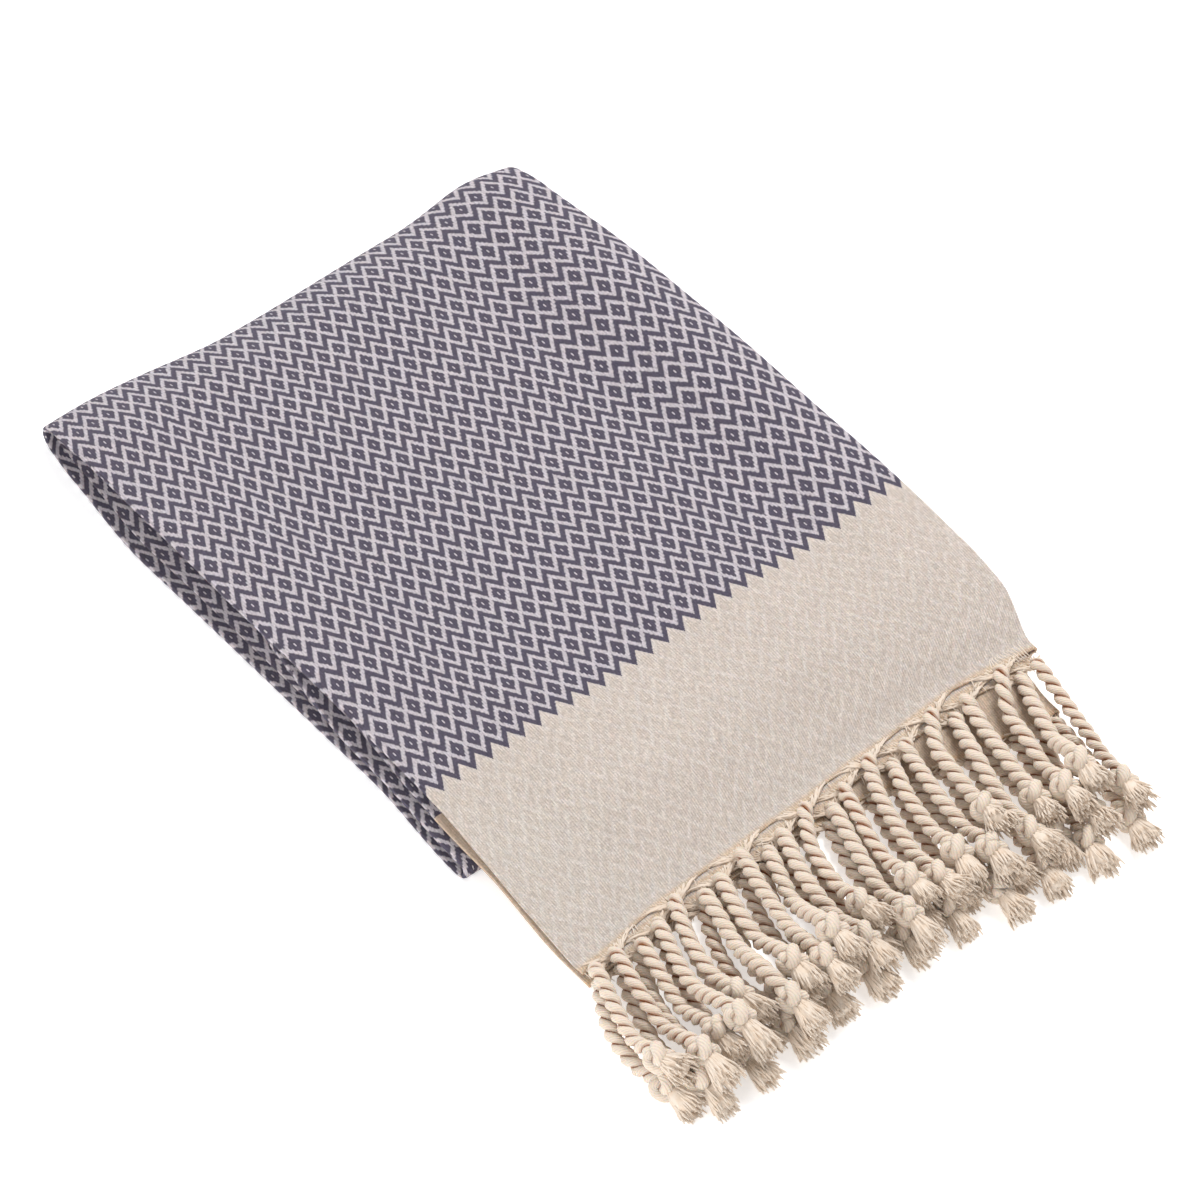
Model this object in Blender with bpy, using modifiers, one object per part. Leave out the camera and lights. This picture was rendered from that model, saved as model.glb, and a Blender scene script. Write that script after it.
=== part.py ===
"""Hammam towel, folded for the shelf: one length of flat-woven cotton and the two knotted fringes at its ends.

The towel is folded in three across its width, with the middle panel uppermost. Its ends are then brought
together, and the doubled cloth is folded once more, so that four levels lie on each other:

    level 3  top end      hem and fringe on top of the stack
    level 2  under end    hem and fringe just below
    level 1  inner run    from the front fold to the inner back fold
    level 0  floor run    from the outer back fold to the front fold, lying on the ground

Frame: metres, +X across the folded towel, +Y towards its back fold, +Z up. The origin is on the ground,
at the middle of the outline. The cloth is laid out as a grid of sections (across) and stations (along).
"""

import math
import random

import bmesh
import bpy
from mathutils import Matrix, Vector

# ---- the cloth as it is cut ----
SHEET = 0.0011              # thickness of the cloth
PANEL = 0.330               # width of the folded towel, which is that of its middle panel
FLAP_LEFT = 0.322           # panel that folds under from the left edge
FLAP_RIGHT = 0.324          # panel that folds under from the right edge, beneath the other

# ---- how its layers lie ----
LAYER_PITCH = 0.0021        # from one layer to the next inside a level
LEVEL_PITCH = 0.0066        # from one level to the next
STACK = 3 * LEVEL_PITCH + 2 * LAYER_PITCH + SHEET   # height of four even levels
STRIP_MIDDLE = LAYER_PITCH + SHEET / 2              # height of a level's middle layer over its underside

BACK_FOLD = 0.2828          # y where the outer and inner back folds start to turn
FRONT_FOLD = -0.083         # y where the front fold starts to turn
INNER_SETBACK = 0.006       # the inner back fold stops this much short of the outer one
TOP_HEM = -0.172            # y of the hem on top
UNDER_HEM = -0.1795         # y of the hem below it, at its left end
UNDER_SKEW = 0.028          # how much further out the under hem lies at its right end
HEM_STEP = 0.0024           # at the top hem each layer comes out that much further than the one above it
BACK_LEFT_INSET = 0.0045    # how far the left and right corners of the back fold are rounded off
BACK_RIGHT_INSET = 0.0025

DROP_START = -0.0945        # beyond the front fold the two ends come down to the ground
DROP_END = -0.158

# ---- the fringe ----
STRIP_GAP = 0.0003
STRIP_WIDTH = 0.0067        # the narrow strip of the hem that carries the roots
ROOT_DEPTH = 0.0035         # how far a cord's root sits inside that strip
CORD_RADIUS = 0.0044
ROOT_RADIUS = 0.0008
KNOT_RADIUS = 0.0074
TUFT_RADIUS = 0.0058
CORD_STAGGER = 0.0070       # every other cord is that much longer, so that the knots clear each other
CORD_CLEARANCE = 0.0006     # between two cords, or a cord and the cloth
CORD_SLOPE = 0.60           # a cord is too stiff to come down more steeply than this

EDGE_BEYOND_ROOT = STRIP_WIDTH - ROOT_DEPTH + 0.0009
# How many hems of the top end come out from below each layer. Those of the under end are even.
HEMS_BELOW = {"centre": 2, "left_flap": 1, "right_flap": 0}

# x of the places where the grid has a section, on every layer, from the left fold to the right one
SECTIONS = (-0.153, -0.128, -0.090, -0.040, 0.010, 0.055, 0.088, 0.110, 0.130, 0.149)
# y of the places where the grid has a station, on every level, from the hem to the back
STATIONS = (-0.156, -0.142, -0.127, -0.111, -0.093, -0.066, -0.030, 0.015, 0.070, 0.130, 0.190, 0.239, 0.266)

# Where the edges of each level lie, for some places along it: no level is quite above the next.
EDGE_COLUMNS = ("y", "left", "right")
EDGES = {
    "top": (
        (-0.172, -0.1670, 0.1570), (-0.130, -0.1650, 0.1680), (-0.048, -0.1605, 0.1705),
        (0.120, -0.1600, 0.1700), (0.2828, -0.1550, 0.1670),
    ),
    "floor": (
        (-0.083, -0.1720, 0.1590), (0.000, -0.1660, 0.1630),
        (0.190, -0.1650, 0.1660), (0.2828, -0.1560, 0.1660),
    ),
    "inner": (
        (-0.083, -0.1700, 0.1580), (0.000, -0.1660, 0.1620),
        (0.160, -0.1480, 0.1640), (0.2828, -0.1340, 0.1620),
    ),
    "under": (
        (-0.180, -0.1670, 0.1405), (-0.083, -0.1640, 0.1600),
        (0.120, -0.1490, 0.1660), (0.2828, -0.1340, 0.1620),
    ),
}

# Swells and dips of the whole stack: the folds at the right stand proud as a soft ridge.
SWELL_COLUMNS = ("x", "y", "reach_left", "reach_right", "reach_front", "reach_back", "height")
SWELLS = (
    (0.148, 0.150, 0.060, 0.060, 0.420, 0.330, 0.0174),     # ridge of folds along the right edge
    (0.148, -0.200, 0.075, 0.060, 0.170, 0.110, 0.0118),    # its looser end, at the hems
    (-0.130, 0.150, 0.075, 0.050, 0.260, 0.300, 0.0076),    # the softer folds along the left edge
    (0.045, -0.020, 0.110, 0.090, 0.130, 0.150, 0.0064),    # a full place in the middle of the front
    (-0.130, -0.110, 0.150, 0.060, 0.150, 0.110, -0.0082),  # where the front's left corner lies low
    (0.000, 0.310, 0.400, 0.400, 0.150, 0.060, -0.0060),    # the stack gets lower towards the back fold
    (0.000, 0.306, 0.400, 0.400, 0.048, 0.048, -0.0095),    # and rounds off over it
    (-0.020, 0.040, 0.120, 0.120, 0.200, 0.200, -0.0020),   # the hollow in the middle
    (0.100, -0.190, 0.150, 0.080, 0.110, 0.090, 0.0044),    # the hems' right half
)
STACK_HEIGHT = 0.0238       # height of the stack where nothing swells

# The back fold is not straight: x, and how far it stands out from BACK_FOLD there.
BOW_COLUMNS = ("x", "out")
BACK_BOW = (
    (-0.165, 0.0075), (-0.100, 0.0085), (-0.030, 0.0025),
    (0.080, 0.0040), (0.130, 0.0040), (0.170, -0.0040),
)

# The hems are drawn in towards their right half: x, and how far in for the top hem and for the one under it.
HEM_COLUMNS = ("x", "top", "under")
HEM_BOW = (
    (-0.165, -0.0020, 0.0000), (-0.100, 0.0060, 0.0030), (-0.020, 0.0090, 0.0050),
    (0.040, 0.0130, 0.0080), (0.100, 0.0155, 0.0100), (0.160, 0.0090, 0.0080),
)

# Roots of the cords, a row for each layer of each end: how many, the first one's x, and the pitch.
ROOT_COLUMNS = ("end", "layer", "count", "first", "pitch")
ROOTS = (
    ("under", "centre", 7, -0.1465, 0.0427),
    ("under", "left_flap", 8, -0.1610, 0.0421),
    ("under", "right_flap", 7, -0.1320, 0.0427),
    ("top", "centre", 7, -0.1465, 0.0460),
    ("top", "left_flap", 8, -0.1610, 0.0443),
    ("top", "right_flap", 7, -0.1325, 0.0451),
)
# How the cords of each end come to lie: x of the first tip, the pitch of the tips, and for the first and
# the last cord its length and how far it bends aside on its way.
LANE_COLUMNS = ("end", "tip", "pitch", "first_length", "last_length", "first_bend", "last_bend")
LANES = (
    ("under", -0.1790, 0.0140, 0.110, 0.098, -0.0110, 0.0020),
    ("top", -0.1760, 0.0142, 0.108, 0.112, -0.0080, -0.0010),
)


def smooth(value):
    """0 below 0, 1 above 1, and an even S between."""
    value = min(1.0, max(0.0, value))
    return value * value * (3.0 - 2.0 * value)


def read_off(rows, at, column):
    """Reads a table whose first column is a place, easing from one row to the next."""
    if at <= rows[0][0]:
        return rows[0][column]
    for low, high in zip(rows, rows[1:]):
        if at <= high[0]:
            return low[column] + (high[column] - low[column]) * smooth((at - low[0]) / (high[0] - low[0]))
    return rows[-1][column]


def hump(distance, reach):
    """1 at no distance, 0 at the reach, and round between."""
    return math.cos(0.5 * math.pi * min(1.0, abs(distance) / reach)) ** 2


def stack_height(x, y):
    """Height of the whole stack at a place, if all four levels were there."""
    height = STACK_HEIGHT
    for at_x, at_y, left, right, front, back, swell in SWELLS:
        across = hump(x - at_x, right if x > at_x else left)
        along = hump(y - at_y, back if y > at_y else front)
        height += swell * across * along
    height += 0.0005 * math.sin(41.0 * x + 19.0 * y) + 0.0004 * math.sin(58.0 * y - 27.0 * x + 1.0)
    return height


def settle(point):
    """Presses or lifts a point of the evenly folded cloth to the real height of the stack there."""
    point.z *= stack_height(point.x, point.y) / STACK


def cross_section():
    """Sections across the cloth from the left flap's free edge to the right flap's: (x, offset, layer).

    The offset is measured from the middle layer of a level, towards the outer face of the middle panel.
    """
    half = PANEL / 2
    left_turn = LAYER_PITCH / 2
    right_turn = LAYER_PITCH
    left_end = left_turn - half
    right_end = half - right_turn
    free_left_flap = half - (PANEL - FLAP_LEFT)
    free_right_flap = half - FLAP_RIGHT
    rows = [(free_left_flap, 0.0, "left_flap")]
    rows += [(x, 0.0, "left_flap") for x in reversed(SECTIONS) if x < free_left_flap - 0.004]
    for step in range(4):
        angle = math.pi * step / 3
        rows.append((left_end - left_turn * math.sin(angle), left_turn * (1 - math.cos(angle)), "left_fold"))
    rows += [(x, LAYER_PITCH, "centre") for x in SECTIONS]
    for step in range(5):
        angle = math.pi * step / 4
        rows.append((right_end + right_turn * math.sin(angle), right_turn * math.cos(angle), "right_fold"))
    rows += [(x, -LAYER_PITCH, "right_flap") for x in reversed(SECTIONS) if x > free_right_flap + 0.004]
    rows.append((free_right_flap, -LAYER_PITCH, "right_flap"))
    return rows


def run(name, level, start, end):
    """Stations of one straight run along the cloth.

    A station is (run, y, height, direction angle, edges before, edges after, share).
    """
    inner = [y for y in STATIONS if min(start, end) + 0.004 < y < max(start, end) - 0.004]
    if end < start:
        inner.reverse()
    height = level * LEVEL_PITCH + STRIP_MIDDLE
    angle = 0.0 if end > start else math.pi
    return [(name, y, height, angle, name, name, 0.0) for y in (start, *inner, end)]


def turn(names, y, levels, toward, steps):
    """Stations of one fold between two runs, without its ends, which belong to the runs."""
    low, high = sorted(levels)
    radius = (high - low) * LEVEL_PITCH / 2
    middle = (high + low) * LEVEL_PITCH / 2 + STRIP_MIDDLE
    down = levels[0] > levels[1]
    rows = []
    for step in range(1, steps):
        share = step / steps
        swing = math.pi * share
        height = middle + radius * math.cos(swing) * (1 if down else -1)
        heading = -swing if down else swing
        if toward < 0:
            heading = math.pi - heading
        rows.append((names[0], y + toward * radius * math.sin(swing), height, heading, *names, share))
    return rows


def lengthwise_path():
    """All stations along the cloth, from the hem on top to the hem under it."""
    inner_back = BACK_FOLD - INNER_SETBACK
    rows = run("top", 3, TOP_HEM, BACK_FOLD)
    rows += turn(("top", "floor"), BACK_FOLD, (3, 0), 1, 7)
    rows += run("floor", 0, BACK_FOLD, FRONT_FOLD)
    rows += turn(("floor", "inner"), FRONT_FOLD, (0, 1), -1, 4)
    rows += run("inner", 1, FRONT_FOLD, inner_back)
    rows += turn(("inner", "under"), inner_back, (1, 2), 1, 4)
    rows += run("under", 2, inner_back, UNDER_HEM)
    return rows


def hem_step(across, layer):
    """How far a layer's hem comes out beyond the top layer's: not at all at a fold, where the two are one."""
    if layer == "left_flap":
        return HEM_STEP * smooth((across + PANEL / 2) / 0.030)
    if layer == "right_flap":
        return 2 * HEM_STEP * smooth((PANEL / 2 - across) / 0.030)
    return 0.0


def lay(section, station):
    """The place of one point of the cloth in the evenly folded stack."""
    across, offset, layer = section
    name, y, z, angle, first, second, share = station
    level_y = min(y, BACK_FOLD)
    edges = []
    for column in (1, 2):
        here = read_off(EDGES[first], level_y, column)
        there = read_off(EDGES[second], level_y, column)
        edges.append(here + (there - here) * smooth(share))
    left, right = edges
    x = left + (across + PANEL / 2) / PANEL * (right - left)
    corner = smooth((y - 0.262) / 0.042)
    x += BACK_LEFT_INSET * corner * max(0.0, 1.0 - (x - left) / 0.050) ** 2
    x -= BACK_RIGHT_INSET * corner * max(0.0, 1.0 - (right - x) / 0.050) ** 2
    y -= offset * math.sin(angle)
    z += offset * math.cos(angle)
    y += read_off(BACK_BOW, x, 1) * smooth((y - 0.150) / 0.130)
    if name == "top" and share == 0.0:
        y += read_off(HEM_BOW, x, 1) * smooth((-0.050 - y) / 0.110)
        y -= hem_step(across, layer) * smooth((-0.115 - y) / 0.040)
    if name == "under" and share == 0.0:
        reach = smooth((-0.090 - y) / 0.080)
        y += (read_off(HEM_BOW, x, 2) - UNDER_SKEW * smooth((x + 0.030) / 0.175)) * reach
    if name in ("top", "under") and share == 0.0:
        z -= 2 * LEVEL_PITCH * smooth((DROP_START - y) / (DROP_START - DROP_END))
    return Vector((x, y, z))


def material(name, colour, roughness):
    made = bpy.data.materials.new(name)
    made.use_nodes = True
    shader = made.node_tree.nodes["Principled BSDF"]
    shader.inputs["Base Color"].default_value = (*colour, 1.0)
    shader.inputs["Roughness"].default_value = roughness
    shader.inputs["Metallic"].default_value = 0.0
    return made


def applied(obj, name):
    """The object's shape with its modifiers, as a mesh of its own; the object itself is removed."""
    graph = bpy.context.evaluated_depsgraph_get()
    mesh = bpy.data.meshes.new_from_object(obj.evaluated_get(graph))
    mesh.name = name
    bpy.data.objects.remove(obj)
    return mesh


def folded_sheet(name, sections, stations, collection):
    """A grid of the cloth laid in its folds, given its thickness and settled to the stack's height."""
    grid = bmesh.new()
    bmesh.ops.create_grid(grid, x_segments=len(sections) - 1, y_segments=len(stations) - 1, size=0.5)
    for vertex in grid.verts:
        column = round((vertex.co.x + 0.5) * (len(sections) - 1))
        row = round((vertex.co.y + 0.5) * (len(stations) - 1))
        vertex.co = lay(sections[column], stations[row])
    mesh = bpy.data.meshes.new(name)
    grid.to_mesh(mesh)
    grid.free()
    sheet = bpy.data.objects.new(name, mesh)
    collection.objects.link(sheet)
    wall = sheet.modifiers.new("Thickness", "SOLIDIFY")
    wall.thickness = SHEET
    wall.offset = 0.0
    mesh = applied(sheet, name)
    for vertex in mesh.vertices:
        settle(vertex.co)
    return mesh


def hem_strip(end):
    """Stations of the narrow strip beyond a hem that carries the roots."""
    name, hem, level = ("top", TOP_HEM, 3) if end == "top" else ("under", UNDER_HEM, 2)
    height = level * LEVEL_PITCH + STRIP_MIDDLE
    angle = 0.0 if end == "top" else math.pi
    near, far = hem - STRIP_GAP, hem - STRIP_GAP - STRIP_WIDTH
    rows = [(name, y, height, angle, name, name, 0.0) for y in (near, far)]
    return rows


def layer_offset(layer):
    return {"centre": LAYER_PITCH, "left_flap": 0.0, "right_flap": -LAYER_PITCH}[layer]


def root_point(end, layer, x):
    """Where a cord starts, inside its hem's strip."""
    near, _ = hem_strip(end)
    name, y, z, angle, first, second, share = near
    left = read_off(EDGES[name], y, 1)
    right = read_off(EDGES[name], y, 2)
    across = (x - left) / (right - left) * PANEL - PANEL / 2
    station = (name, y - STRIP_WIDTH + ROOT_DEPTH, z, angle, first, second, share)
    point = lay((across, layer_offset(layer), layer), station)
    settle(point)
    point.z = max(point.z, ROOT_RADIUS + 0.0001)
    return point


def cloth_top_under(x, y):
    """Height of the upper face of the under end, with its strip, or 0 beyond it."""
    skew = UNDER_SKEW * smooth((x + 0.030) / 0.175) - read_off(HEM_BOW, x, 2)
    if y < UNDER_HEM - skew - STRIP_GAP - STRIP_WIDTH - CORD_CLEARANCE:
        return 0.0
    return (2 * LAYER_PITCH + SHEET) * stack_height(x, y) / STACK


def cord_stations(length):
    """Distances along a cord with its radius there: the root, the twisted length, the knot and the tuft."""
    rows = [(0.0, ROOT_RADIUS), (0.0050, 0.0020), (0.0105, 0.0034)]
    body = length - 0.0285
    count = 6
    rows += [(0.0170 + (body - 0.0170) * step / (count - 1), CORD_RADIUS) for step in range(count)]
    rows += [(length - 0.0215, KNOT_RADIUS), (length - 0.0140, 0.0046)]
    rows += [(length - 0.0065, TUFT_RADIUS), (length, TUFT_RADIUS * 0.9)]
    return rows


def needed_height(x, y, radius, on_cloth, laid):
    """Lowest height at which a cord's centre clears the ground, the cloth below and the cords already laid."""
    need = radius * 1.03 + 0.0001
    if on_cloth:
        under = cloth_top_under(x, y)
        if under > 0.0:
            need = under + radius + CORD_CLEARANCE
    for other in laid:
        for (start, start_radius), (end, end_radius) in zip(other, other[1:]):
            reach = radius + max(start_radius, end_radius) + CORD_CLEARANCE
            if not min(start.x, end.x) - reach < x < max(start.x, end.x) + reach:
                continue
            if not min(start.y, end.y) - reach < y < max(start.y, end.y) + reach:
                continue
            dx, dy = end.x - start.x, end.y - start.y
            share = ((x - start.x) * dx + (y - start.y) * dy) / (dx * dx + dy * dy)
            share = min(1.0, max(0.0, share))
            gap = math.hypot(x - start.x - share * dx, y - start.y - share * dy)
            reach = radius + start_radius + share * (end_radius - start_radius) + CORD_CLEARANCE
            if gap < reach:
                level = start.z + share * (end.z - start.z)
                need = max(need, level + math.sqrt(reach * reach - gap * gap))
    return need


def hems_below(root, y, layers):
    """Top of the hems that come out from below a root's own hem, or 0 beyond them."""
    scale = stack_height(root.x, root.y) / STACK
    for layer in range(1, layers + 1):
        if y > root.y - HEM_STEP * layer - EDGE_BEYOND_ROOT:
            return root.z + (SHEET / 2 - LAYER_PITCH * layer) * scale
    return 0.0


def laid_cord(root, layers, comb_x, tip_x, length, bend, wave, on_cloth, laid):
    """One cord from its root to its tip, laid on whatever is below it: [(point, radius)].

    It leaves its root for its place in the comb of cords, at comb_x, and goes on to tip_x in a bend.
    """
    rows = cord_stations(length)
    fine = []
    for (low, low_radius), (high, high_radius) in zip(rows, rows[1:]):
        for step in range(3):
            share = step / 3
            fine.append((low + (high - low) * share, low_radius + (high_radius - low_radius) * share))
    fine.append(rows[-1])
    run_length = math.sqrt(max(0.25, 1.0 - ((tip_x - root.x) / length) ** 2)) * 0.97

    def place(distance):
        share = distance / length
        x = comb_x + (tip_x - comb_x) * share + bend * math.sin(math.pi * share)
        x += wave * math.sin(2.0 * math.pi * share)
        x += (root.x - comb_x) * (1.0 - smooth(distance / 0.030))
        return x, root.y - distance * run_length

    needs = []
    for distance, radius in fine:
        x, y = place(distance)
        need = needed_height(x, y, radius, on_cloth, laid)
        hem = hems_below(root, y, layers)
        if hem:
            need = max(need, hem + radius + CORD_CLEARANCE)
        needs.append((distance, need))
    cord = []
    for index, (distance, radius) in enumerate(rows):
        x, y = place(distance)
        z = max(need - CORD_SLOPE * max(0.0, abs(distance - at) - 0.007) for at, need in needs)
        if index == 0:
            z = root.z
        elif index < 3:
            z = max(root.z + (z - root.z) * index / 3, needed_height(x, y, radius, on_cloth, laid))
            hem = hems_below(root, y, layers)
            z = max(z, hem + radius + CORD_CLEARANCE if hem else 0.0)
        cord.append((Vector((x, y, z)), radius))
    return cord


def fringe_cords():
    """The cords of both ends, the under end's first, each laid over those before it."""
    chance = random.Random(7)
    laid = []
    ends = {"under": [], "top": []}
    for end, tip, pitch, first_length, last_length, first_bend, last_bend in LANES:
        roots = []
        for row_end, layer, count, start, apart in ROOTS:
            if row_end == end:
                layers = HEMS_BELOW[layer] if end == "top" else 0
                roots += [(root_point(end, layer, start + apart * index), layers) for index in range(count)]
        roots.sort(key=lambda row: row[0].x)
        for index, (root, layers) in enumerate(roots):
            share = index / (len(roots) - 1)
            length = first_length + (last_length - first_length) * share
            length += CORD_STAGGER * (1 if index % 2 else -1) + chance.uniform(-0.0022, 0.0022)
            bend = first_bend + (last_bend - first_bend) * share + chance.uniform(-0.0028, 0.0028)
            tip_x = tip + pitch * index + chance.uniform(-0.0018, 0.0018)
            wave = chance.uniform(-0.0016, 0.0016)
            comb_x = roots[0][0].x + (roots[-1][0].x - roots[0][0].x) * share
            cord = laid_cord(root, layers, comb_x, tip_x, length, bend, wave, end == "top", laid)
            laid.append(cord)
            ends[end].append(cord)
    return ends


def cord_mesh(name, cords, collection):
    """Four-sided twisted tubes of one end, as one mesh."""
    curve = bpy.data.curves.new(name, "CURVE")
    curve.dimensions = "3D"
    curve.bevel_depth = 1.0
    curve.bevel_resolution = 0
    curve.use_fill_caps = True
    for cord in cords:
        spline = curve.splines.new("POLY")
        spline.points.add(len(cord) - 1)
        for index, (point, radius) in enumerate(cord):
            spline.points[index].co = (*point, 1.0)
            spline.points[index].radius = radius
            spline.points[index].tilt = math.radians(45.0) * index
    tubes = bpy.data.objects.new(name, curve)
    collection.objects.link(tubes)
    mesh = applied(tubes, name)
    welded = bmesh.new()
    welded.from_mesh(mesh)
    bmesh.ops.remove_doubles(welded, verts=welded.verts, dist=1e-6)
    bmesh.ops.recalc_face_normals(welded, faces=welded.faces)
    welded.to_mesh(mesh)
    welded.free()
    return mesh


def fringe(name, end, cords, parts, cutters, finish):
    """A fringe: the folded strip of the hem with its cords joined to it."""
    strip = bpy.data.objects.new(name, folded_sheet(name, cross_section(), hem_strip(end), cutters))
    parts.objects.link(strip)
    strip.data.materials.append(finish)
    tubes = bpy.data.objects.new(name + "_cords", cord_mesh(name + "_cords", cords, cutters))
    cutters.objects.link(tubes)
    tubes.hide_render = True
    tubes.display_type = "WIRE"
    join = strip.modifiers.new("Roots", "BOOLEAN")
    join.operation = "UNION"
    join.solver = "EXACT"
    join.use_self = True
    join.object = tubes
    return strip


def centre_on_origin(objects):
    """Moves all the shapes together, so that the middle of their outline is at the origin."""
    corners = [vertex.co for obj in objects for vertex in obj.data.vertices]
    middle = [(min(c[axis] for c in corners) + max(c[axis] for c in corners)) / 2 for axis in (0, 1)]
    print("outline middle", middle)
    for obj in objects:
        obj.data.transform(Matrix.Translation((-middle[0], -middle[1], 0.0)))


def main():
    for obj in list(bpy.data.objects):
        bpy.data.objects.remove(obj)
    parts = bpy.data.collections.new("hammam_towel")
    cutters = bpy.data.collections.new("cutters")
    bpy.context.scene.collection.children.link(parts)
    bpy.context.scene.collection.children.link(cutters)

    woven = material("woven_cotton", (0.30, 0.27, 0.31), 0.9)
    corded = material("corded_cotton", (0.72, 0.62, 0.52), 0.9)

    folded = folded_sheet("towel_cloth", cross_section(), lengthwise_path(), cutters)
    cloth = bpy.data.objects.new("towel_cloth", folded)
    parts.objects.link(cloth)
    cloth.data.materials.append(woven)

    cords = fringe_cords()
    fringe("fringe_top_end", "top", cords["top"], parts, cutters, corded)
    fringe("fringe_under_end", "under", cords["under"], parts, cutters, corded)
    centre_on_origin([*parts.objects, *cutters.objects])
    for obj in parts.objects:
        obj.data.shade_smooth()
        obj.data.set_sharp_from_angle(angle=math.radians(50.0))


main()
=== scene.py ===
# %% [markdown]
# # A folded hammam towel with a knotted fringe
#
# A hammam towel is a flat-woven cotton bath towel. This one has a dark and pale diamond weave, a plain
# cream band at each end, and fringes whose cords are twisted from the cloth's own warp threads and knotted.
#
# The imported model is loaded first. It gives the frame: every length below is in metres, +Z is up, +Y points
# to the towel's back fold, and the origin is on the ground at the middle of the outline.

# %% Load the frame
import math
import random

import bmesh
import bpy
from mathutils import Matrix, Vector


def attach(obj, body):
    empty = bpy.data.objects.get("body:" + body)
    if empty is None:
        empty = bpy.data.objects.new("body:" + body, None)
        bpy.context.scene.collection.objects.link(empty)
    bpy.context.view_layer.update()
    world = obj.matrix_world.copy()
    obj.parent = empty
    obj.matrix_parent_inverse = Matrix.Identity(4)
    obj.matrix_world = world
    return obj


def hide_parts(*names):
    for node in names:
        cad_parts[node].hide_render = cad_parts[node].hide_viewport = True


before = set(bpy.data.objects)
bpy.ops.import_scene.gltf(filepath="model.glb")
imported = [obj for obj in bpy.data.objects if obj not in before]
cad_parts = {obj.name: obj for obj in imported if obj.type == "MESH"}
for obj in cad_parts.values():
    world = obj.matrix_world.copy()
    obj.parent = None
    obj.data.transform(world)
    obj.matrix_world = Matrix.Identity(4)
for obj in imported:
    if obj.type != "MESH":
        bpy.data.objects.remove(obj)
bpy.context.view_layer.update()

bpy.ops.object.select_all(action="DESELECT")
print("nodes", sorted(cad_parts))


def new_object(name, data):
    """Puts a mesh, a lamp or a camera into the scene."""
    made = bpy.data.objects.new(name, data)
    bpy.context.scene.collection.objects.link(made)
    return made


# %% [markdown]
# ## The cloth and its folds
#
# The towel is folded in three across its width, then its ends are brought together, and the doubled cloth
# is folded once more. That makes four levels of three layers each. A cloth simulation could fold a sheet
# too, but not along these very edges. So the sizes of the solid model are used again, and the fine sheet
# lies exactly in its folds. The tables say where the edges of each level lie and where the stack swells,
# because no real fold is straight.

# %% Sizes of the cloth
SHEET = 0.0011  # thickness of the cloth
PANEL = 0.330  # width of the middle panel, and then of the two that are folded over it
FLAP_LEFT = 0.322
FLAP_RIGHT = 0.324
LAYER_PITCH = 0.0021  # from one layer of a level to the next, and from one level to the next
LEVEL_PITCH = 0.0066
STACK = 3 * LEVEL_PITCH + 2 * LAYER_PITCH + SHEET
STRIP_MIDDLE = LAYER_PITCH + SHEET / 2
BACK_FOLD = 0.2828
FRONT_FOLD = -0.083
INNER_SETBACK = 0.006
TOP_HEM = -0.172
UNDER_HEM = -0.1795
HEMS = {"top": TOP_HEM, "under": UNDER_HEM}
UNDER_SKEW = 0.028
HEM_STEP = 0.0042  # how far each layer's hem comes out beyond the one above it
HEM_PINCH = 0.62  # the layers are drawn together at the hems, to this share of their pitch
BACK_LEFT_INSET = 0.0045
BACK_RIGHT_INSET = 0.0025
DROP_START = -0.0945  # where the two upper levels begin to sink to the ground
DROP_END = -0.158
OUTLINE_MIDDLE = Vector((-0.0080107, 0.0011105, 0.0))  # from where the tables count to the origin

# %% Edges, swells and bow of the stack
# Each row of an edge table is a place along the towel, the left edge there and the right edge there.
EDGES = {
    "top": (
        (-0.172, -0.1670, 0.1570), (-0.130, -0.1650, 0.1680), (-0.048, -0.1605, 0.1705),
        (0.120, -0.1600, 0.1700), (0.2828, -0.1550, 0.1670),
    ),
    "floor": (
        (-0.083, -0.1720, 0.1590), (0.000, -0.1660, 0.1630),
        (0.190, -0.1650, 0.1660), (0.2828, -0.1560, 0.1660),
    ),
    "inner": (
        (-0.083, -0.1700, 0.1580), (0.000, -0.1660, 0.1620),
        (0.160, -0.1480, 0.1640), (0.2828, -0.1340, 0.1620),
    ),
    "under": (
        (-0.180, -0.1670, 0.1405), (-0.083, -0.1640, 0.1600),
        (0.120, -0.1490, 0.1660), (0.2828, -0.1340, 0.1620),
    ),
}
# x, y, reach to the left, right, front and back, and height
SWELLS = (
    (0.148, 0.150, 0.060, 0.060, 0.420, 0.330, 0.0174),
    (0.148, -0.200, 0.075, 0.060, 0.170, 0.110, 0.0118),
    (-0.130, 0.150, 0.075, 0.050, 0.260, 0.300, 0.0076),
    (0.045, -0.020, 0.110, 0.090, 0.130, 0.150, 0.0064),
    (-0.130, -0.110, 0.150, 0.060, 0.150, 0.110, -0.0082),
    (0.000, 0.310, 0.400, 0.400, 0.150, 0.060, -0.0060),
    (0.000, 0.306, 0.400, 0.400, 0.048, 0.048, -0.0095),
    (-0.020, 0.040, 0.120, 0.120, 0.200, 0.200, -0.0020),
    (0.100, -0.190, 0.150, 0.080, 0.110, 0.090, 0.0044),
)
STACK_HEIGHT = 0.0238
# Height of a wave, how often it comes along x and y, and its start
RIPPLES = ((0.0005, 41.0, 19.0, 0.0), (0.0004, -27.0, 58.0, 1.0))
BACK_BOW = (
    (-0.165, 0.0075), (-0.100, 0.0085), (-0.030, 0.0025),
    (0.080, 0.0040), (0.130, 0.0040), (0.170, -0.0040),
)
# The hems are drawn in: x, and how far in for the top hem and for the one under it
HEM_BOW = (
    (-0.165, -0.0020, 0.0000), (-0.100, 0.0060, 0.0030), (-0.020, 0.0090, 0.0050),
    (0.040, 0.0130, 0.0080), (0.100, 0.0155, 0.0100), (0.160, 0.0090, 0.0080),
)
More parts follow.
